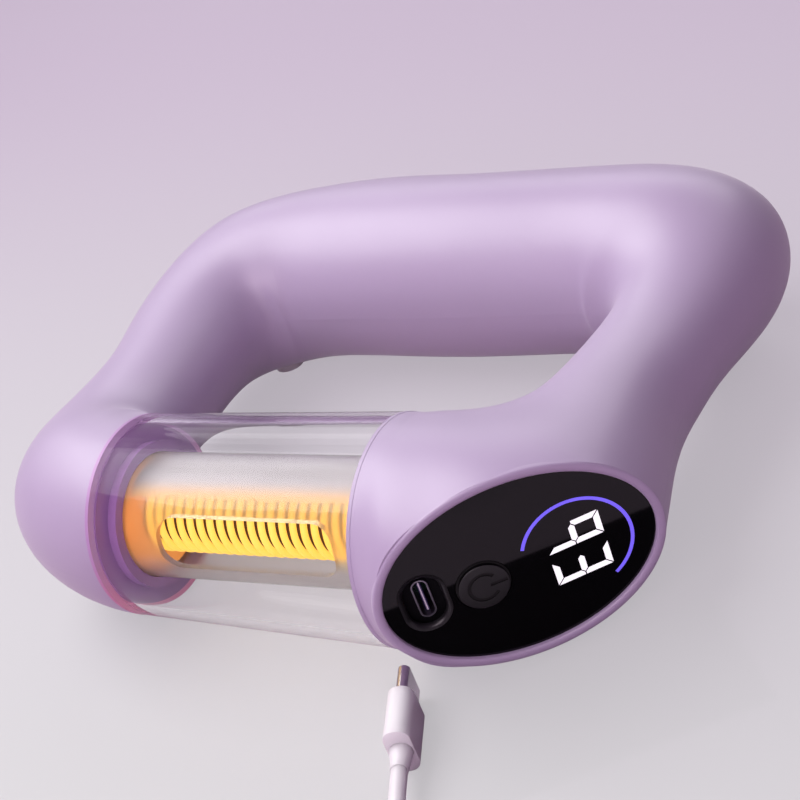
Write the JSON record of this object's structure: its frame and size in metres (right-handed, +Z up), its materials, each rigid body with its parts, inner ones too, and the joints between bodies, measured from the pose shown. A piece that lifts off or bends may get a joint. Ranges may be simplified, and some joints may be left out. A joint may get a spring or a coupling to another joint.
{
  "type": "handheld loop heater",
  "caption": "Hand-held closed loop heater lying flat: clear sleeve round a wire coil, oval black control panel with a socket and a button, charge lead beside it.",
  "frame": {"origin": "on the surface it lies on, below the middle of the loop's outline", "axes": "+X along the heater bar from the cut end on the left to the panel, +Y from the heater bar to the grip bar, +Z up"},
  "size_m": [0.251, 0.2297, 0.047],
  "materials": {
    "lilac_plastic": "satin, injection moulded",
    "collar_plastic": "satin",
    "clear_plastic": "clear, polished",
    "frosted_glass": "frosted",
    "panel_black": "polished",
    "button_black": "satin",
    "inner_plastic": "moulded",
    "heater_wire": "drawn, glowing in use",
    "ceramic": "unglazed",
    "bright_metal": "plated",
    "brass": "plain",
    "screw_steel": "zinc plated",
    "foot_rubber": "matt",
    "board": "solder mask",
    "cell_wrap": "shrink wrap",
    "lamp_white": "diffuser",
    "lamp_violet": "diffuser",
    "lead_white": "smooth",
    "tie_band": "hook and loop"
  },
  "bodies": {
    "housing": {"upper_shell": "lilac_plastic", "lower_shell": "lilac_plastic", "foot_pads": "foot_rubber", "shell_screws": "screw_steel", "clear_sleeve": "clear_plastic", "left_bulkhead": "collar_plastic", "right_bulkhead": "collar_plastic", "heater_tube": "frosted_glass", "left_end_cap": "ceramic", "right_end_cap": "ceramic", "coil_core": "ceramic", "heating_coil": "heater_wire", "left_terminal": "brass", "right_terminal": "brass", "thermal_cutoff": "bright_metal", "panel_lens": "panel_black", "panel_frame": "inner_plastic", "tact_switch": "bright_metal", "control_board": "board", "port_cup": "panel_black", "usb_socket_shell": "bright_metal", "usb_tongue": "inner_plastic", "display_module": "lamp_white", "light_ring": "lamp_violet", "battery_front": "cell_wrap", "battery_back": "cell_wrap", "battery_cradle": "inner_plastic", "left_battery_tab": "bright_metal", "right_battery_tab": "bright_metal", "lead_plug_tip": "bright_metal", "lead_plug_body": "lead_white", "lead_relief": "lead_white", "charge_lead": "lead_white", "lead_coil": "lead_white", "lead_tie": "tie_band", "lead_tail": "lead_white", "lead_far_relief": "lead_white", "lead_far_plug": "lead_white", "lead_far_tip": "bright_metal"},
    "button": {"power_button": "button_black", "switch_plunger": "inner_plastic"}
  },
  "joints": [
    {"name": "button_press", "type": "slide", "parent": "housing", "child": "button", "axis": [-0.5976, 0.8018, 0], "range_m": [0, 0.0004], "stiffness_N_per_m": 1200}
  ]
}
